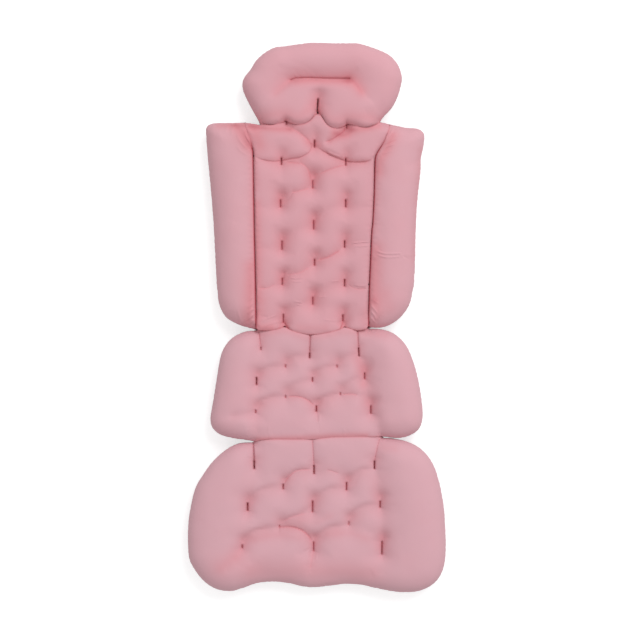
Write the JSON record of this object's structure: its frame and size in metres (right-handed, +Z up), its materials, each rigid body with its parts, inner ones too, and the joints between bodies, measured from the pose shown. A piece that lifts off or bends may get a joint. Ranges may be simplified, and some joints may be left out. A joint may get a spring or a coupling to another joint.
{
  "type": "bath pillow",
  "caption": "Full-length padded bath pillow: tufted back with side wings, head pillow, seat and leg sections that fold at sewn seams, and suction cups behind.",
  "frame": {"origin": "centre of the bounding box's base: under the middle of the pillow as it lies flat on its back", "axes": "+Z up, out of the tufted front; +Y along the length, towards the head pillow; +X to the right, seen from above with the head at the top"},
  "size_m": [0.379, 0.806, 0.049],
  "materials": {
    "front_cloth": "matte",
    "back_cloth": "matte",
    "seam_cloth": "matte",
    "filling": "matte",
    "silicone": "gloss",
    "holder_plastic": "satin"
  },
  "bodies": {
    "back_panel": {"back_front_cover": "front_cloth", "back_filling": "filling", "back_back_cover": "back_cloth", "back_upper_left_suction_cup": "silicone", "back_upper_left_cup_holder": "holder_plastic", "back_upper_right_suction_cup": "silicone", "back_upper_right_cup_holder": "holder_plastic", "back_lower_left_suction_cup": "silicone", "back_lower_left_cup_holder": "holder_plastic", "back_lower_right_suction_cup": "silicone", "back_lower_right_cup_holder": "holder_plastic", "head_fold_seam": "seam_cloth", "seat_fold_seam": "seam_cloth", "left_wing_seam": "seam_cloth", "right_wing_seam": "seam_cloth"},
    "head_pillow": {"pillow_front_cover": "front_cloth", "pillow_filling": "filling", "pillow_back_cover": "back_cloth", "pillow_left_suction_cup": "silicone", "pillow_left_cup_holder": "holder_plastic", "pillow_right_suction_cup": "silicone", "pillow_right_cup_holder": "holder_plastic"},
    "left_wing": {"left_wing_front_cover": "front_cloth", "left_wing_filling": "filling", "left_wing_back_cover": "back_cloth"},
    "right_wing": {"right_wing_front_cover": "front_cloth", "right_wing_filling": "filling", "right_wing_back_cover": "back_cloth"},
    "seat_pad": {"seat_front_cover": "front_cloth", "seat_filling": "filling", "seat_back_cover": "back_cloth", "seat_left_suction_cup": "silicone", "seat_left_cup_holder": "holder_plastic", "seat_right_suction_cup": "silicone", "seat_right_cup_holder": "holder_plastic", "leg_fold_seam": "seam_cloth"},
    "leg_pad": {"legs_front_cover": "front_cloth", "legs_filling": "filling", "legs_back_cover": "back_cloth", "legs_left_suction_cup": "silicone", "legs_left_cup_holder": "holder_plastic", "legs_right_suction_cup": "silicone", "legs_right_cup_holder": "holder_plastic"}
  },
  "joints": [
    {"name": "head_fold", "type": "hinge", "parent": "back_panel", "child": "head_pillow", "pos_m": [0, 0.284, 0.022], "axis": [1, 0, 0], "range_deg": [-60, 45]},
    {"name": "left_wing_fold", "type": "hinge", "parent": "back_panel", "child": "left_wing", "pos_m": [-0.08725, 0.133, 0.022], "axis": [-0.0347, 0.9994, 0], "range_deg": [-30, 75]},
    {"name": "right_wing_fold", "type": "hinge", "parent": "back_panel", "child": "right_wing", "pos_m": [0.08725, 0.133, 0.022], "axis": [-0.0347, -0.9994, 0], "range_deg": [-30, 75]},
    {"name": "seat_fold", "type": "hinge", "parent": "back_panel", "child": "seat_pad", "pos_m": [0, -0.018, 0.022], "axis": [-1, 0, 0], "range_deg": [-30, 60]},
    {"name": "leg_fold", "type": "hinge", "parent": "seat_pad", "child": "leg_pad", "pos_m": [0, -0.177, 0.022], "axis": [-1, 0, 0], "range_deg": [-45, 45]}
  ]
}
